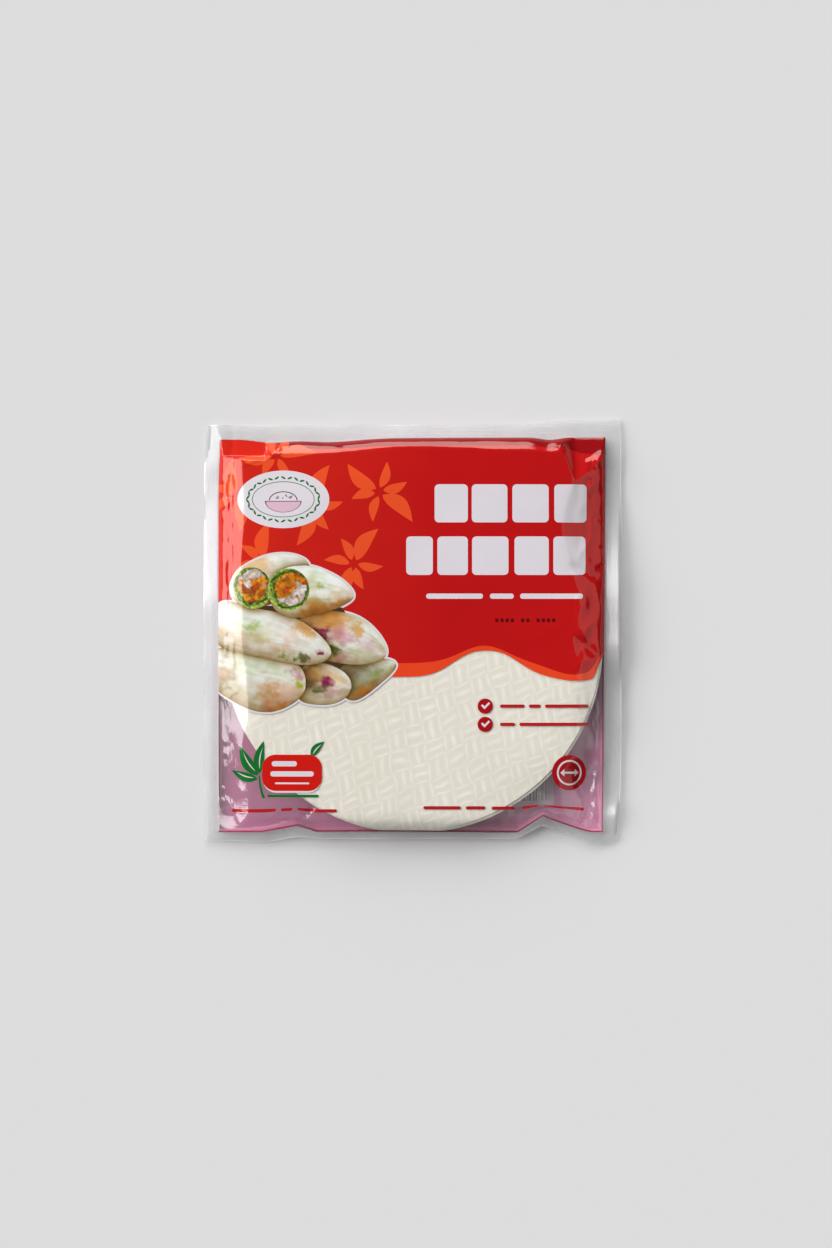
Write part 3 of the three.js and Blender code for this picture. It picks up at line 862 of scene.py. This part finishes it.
back_shapes = [("cut_edge", whole), ("weld_film", trimmed), ("edge_line", pocket),
               ("mauve_ground", [(WELD_LEFT + LINE_A, WELD_BOTTOM + LINE_B),
                                 (WELD_RIGHT - LINE_A, WELD_BOTTOM + LINE_B),
                                 (WELD_RIGHT - LINE_A, WELD_TOP - LINE_B),
                                 (WELD_LEFT + LINE_A, WELD_TOP - LINE_B)]),
               ("panel_white", block(40.0, 81.5, -101.0, -70.0, 1.0))]
stripe = random.Random(11)
edge = STRIPES_FROM
while edge < STRIPES_TO:
    thick = stripe.choice((0.45, 0.45, 0.8, 1.2))
    back_shapes.append(("stripe_dark", block(edge, edge + thick, -97.5, -73.5, 0.05, 1)))
    edge += thick + stripe.choice((0.5, 0.5, 0.9, 1.3))
back_finishes = {"cut_edge": film_finishes["cut_edge"],
                 "weld_film": film_finishes["weld_film"],
                 "edge_line": ink_finish("edge_line", (150, 34, 60)),
                 # The mauve is painted paler and pinker towards the right, where the stack's shadow
                 # falls: painted light that lifts that shade.
                 "mauve_ground": ink_finish("mauve_ground", (187, 113, 149), (202, 134, 166),
                                            0.02, 0.05),
                 "panel_white": ink_finish("panel_white", (206, 190, 200)),
                 "stripe_dark": ink_finish("stripe_dark", (58, 46, 58))}
back_flat, back_faces, back_tops = cut_film(back_shapes, 1.2, 3.0, [])
back_film = film_piece("back_film", back_flat, back_faces, [back_shapes[i][0] for i in back_tops],
                       back_height, False, back_finishes)
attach(back_film, "root")
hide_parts("sealed_bag")


# ---- Stack of rice paper wrappers ----------------------------------------------------
# Round sheets of steamed rice batter, dried on a woven mat that leaves its basket mark.
# They lie one on another, a little out of line, pressed together at the rim by the film,
# and the welds keep every rim inside the pocket.
SHEETS, SHEET_RADIUS, SHEET_THICK = 32, 108.7, 0.42
SHEET_RINGS = (0.8, 2.2, 3.5, 4.5, 6.0, 14.0, 30.0)

# The sheets under the top two lie nearer the foot of the bag and to the right. Each strays a
# little, and keeps clear of the welds and of the film under and over it. Its level goes from
# 0 at the back film to 1 at the front film, STACK_DEEP above it.
TOP_SHEETS, UNDER_X, UNDER_Y, STRAY = 2, 0.9, -1.8, 0.2
RIM_GAP, UNDER_GAP, OVER_GAP = 0.9, 0.3, 0.35
LEVEL_LOW, LEVEL_SPAN, STACK_DEEP = 0.02, 0.96, STACK_TOP - 0.7


def film_point(x, y):
    """The point of the flat film that lies over x, y."""
    a, b = np.array(x, float), np.array(y, float)
    for _ in range(5):
        px, py = film_plan(a, b)
        a, b = a + x - px, b + y - py
    return a, b


bpy.ops.mesh.primitive_circle_add(vertices=128, radius=SHEET_RADIUS * MM, fill_type="NGON")
pattern = bpy.context.object
bpy.ops.object.mode_set(mode="EDIT")
for ring in SHEET_RINGS:
    bpy.ops.mesh.inset(thickness=ring * MM, depth=0)
bpy.ops.mesh.poke()
bpy.ops.object.mode_set(mode="OBJECT")
wall = pattern.modifiers.new("Thickness", "SOLIDIFY")
wall.thickness, wall.offset = SHEET_THICK * MM, 0.0
bpy.ops.object.modifier_apply(modifier=wall.name)

sheets = []
shuffle = random.Random(7)
for i in range(SHEETS):
    share = i / (SHEETS - 1)
    sheet = pattern.copy()
    sheet.data = pattern.data.copy()
    bpy.context.scene.collection.objects.link(sheet)
    turn = shuffle.uniform(0, 2 * math.pi)
    size = 1 - shuffle.uniform(0, 0.004)
    under_x, under_y = (UNDER_X, UNDER_Y) if i < SHEETS - TOP_SHEETS else (0.0, 0.0)
    shift_x = STACK_X + under_x + shuffle.uniform(-STRAY, STRAY)
    shift_y = STACK_Y + under_y + shuffle.uniform(-STRAY, STRAY)
    spots = np.array([v.co for v in sheet.data.vertices]) / MM
    x = (spots[:, 0] * math.cos(turn) - spots[:, 1] * math.sin(turn)) * size + shift_x
    y = (spots[:, 0] * math.sin(turn) + spots[:, 1] * math.cos(turn)) * size + shift_y
    a, b = film_point(x, y)
    a = np.clip(a, WELD_LEFT + RIM_GAP, WELD_RIGHT - RIM_GAP)
    b = np.clip(b, WELD_BOTTOM + RIM_GAP, WELD_TOP - RIM_GAP)
    x, y = film_plan(a, b)
    low, high = back_height(a, b) + UNDER_GAP, front_height(a, b) - OVER_GAP
    level = LEVEL_LOW + LEVEL_SPAN * share + spots[:, 2] / STACK_DEEP
    z = low + (high - low) * np.clip(level, 0.0, 1.0)
    for v, px, py, pz in zip(sheet.data.vertices, x, y, z):
        v.co = (px * MM, py * MM, pz * MM)
    sheets.append(sheet)
bpy.ops.object.select_all(action="DESELECT")
pattern.select_set(True)
bpy.ops.object.delete()
for sheet in sheets:
    sheet.select_set(True)
bpy.context.view_layer.objects.active = sheets[-1]
bpy.ops.object.join()
stack = bpy.context.object
stack.name = "wrapper_stack"
bpy.ops.object.shade_smooth_by_angle(angle=math.radians(40))

# The mat's strips run two ways, over two and under two; TILE is the width of two strips, and
# WANDER is how far they stray.
TILE, RUN_ONE, RUN_TWO, WANDER = 0.0112, math.radians(23), math.radians(101), 0.009
make = Finish("rice_paper")
place = make.node("TexCoord", outputs=(3,))
x, y, z = make.node("SeparateXYZ", outputs=(0, 1, 2), Vector=place)
sway = make.noise(place, 34.0, 2.0) * WANDER
drift = make.noise(place, 47.0, 2.0) * WANDER
skew = math.sin(RUN_TWO - RUN_ONE) * TILE
u = (x * (math.sin(RUN_TWO) / skew) - y * (math.cos(RUN_TWO) / skew)) + sway * (1 / TILE)
v = (y * (math.cos(RUN_ONE) / skew) - x * (math.sin(RUN_ONE) / skew)) + drift * (1 / TILE)
crossed = ((u.math("FLOOR") + v.math("FLOOR")) * 0.5).math("FRACT") * 2
ends_u = (u.math("FRACT") * math.pi).math("SINE") ** 0.6
ends_v = (v.math("FRACT") * math.pi).math("SINE") ** 0.6
strips_one = ends_u * ((v * (4 * math.pi)).math("COSINE") * 0.5 + 0.5) ** 2
strips_two = ends_v * ((u * (4 * math.pi)).math("COSINE") * 0.5 + 0.5) ** 2
weave = strips_one * (1 - crossed) + strips_two * crossed
fibre = make.noise(place, 420.0, 3.0)
cloud = make.noise(place, 22.0, 3.0)
worn = make.noise(place, 60.0, 2.0)
weave = weave * worn
paleness = cloud * 0.4 + weave * 1.15 + fibre * 0.25 - 0.04
tone = make.node("Mix", {"data_type": "RGBA"}, outputs=(2,), i0=paleness,
                 i6=(*linear(226, 219, 202), 1.0), i7=(*linear(248, 243, 232), 1.0))
bump = make.node("Bump", Strength=0.25, Distance=0.0003, Height=weave * 0.4 + fibre * 0.5)
shader = make.node("BsdfPrincipled", Base_Color=tone, Roughness=0.55, Normal=bump,
                   Specular_IOR_Level=0.35)
stack.data.materials.clear()
stack.data.materials.append(make.surface(shader))
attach(stack, "root")
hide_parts("sealed_bag")


# ---- Floor, light and camera ---------------------------------------------------------
# A plain pale floor; one large soft light from the left, about half as much from behind the
# head of the bag, and a little from the right. The camera looks straight down.
FLOOR_SIZE, FLOOR_Z = 40.0, -0.0002
bpy.ops.mesh.primitive_grid_add(x_subdivisions=2, y_subdivisions=2, size=FLOOR_SIZE,
                                location=(0, 0, FLOOR_Z))
floor = bpy.context.object
floor.name = "studio_floor"
make = Finish("studio_floor")
place = make.node("TexCoord", outputs=(3,))
tooth = make.noise(place, 500.0, 2.0)
bump = make.node("Bump", Strength=0.05, Distance=0.0003, Height=tooth)
shader = make.node("BsdfPrincipled", Base_Color=(0.797, 0.797, 0.797, 1.0), Roughness=0.8,
                   Specular_IOR_Level=0.1, Normal=bump)
floor.data.materials.append(make.surface(shader))


def soft_light(name, azimuth, elevation, width, strength):
    """A far, soft lamp; its direction and its width in the sky are in degrees."""
    angle, lift = math.radians(azimuth), math.radians(elevation)
    data = bpy.data.lights.new(name, "SUN")
    data.angle, data.energy = math.radians(width), strength
    lamp = bpy.data.objects.new(name, data)
    lamp.location = (math.cos(lift) * math.cos(angle), math.cos(lift) * math.sin(angle),
                     math.sin(lift))
    lamp.rotation_euler = lamp.location.to_track_quat("Z", "Y").to_euler()
    bpy.context.scene.collection.objects.link(lamp)


soft_light("key_light", 162, 33, 46, 2.95)
soft_light("right_light", 0, 53, 44, 0.38)
soft_light("top_light", 100, 26, 36, 1.9)

world = bpy.data.worlds.new("studio")
bpy.context.scene.world = world
world.use_nodes = True
world.node_tree.nodes["Background"].inputs["Color"].default_value = (0.03, 0.03, 0.03, 1.0)

CAMERA_X, CAMERA_Y, CAMERA_HEIGHT = 0.0020, 0.0046, 1.698
eye = bpy.data.cameras.new("camera")
eye.lens, eye.sensor_width, eye.clip_start = 85.0, 36.0, 0.05
camera = bpy.data.objects.new("camera", eye)
camera.location = (CAMERA_X, CAMERA_Y, CAMERA_HEIGHT)
bpy.context.scene.collection.objects.link(camera)
bpy.context.scene.camera = camera
bpy.context.scene.view_settings.view_transform = "Standard"
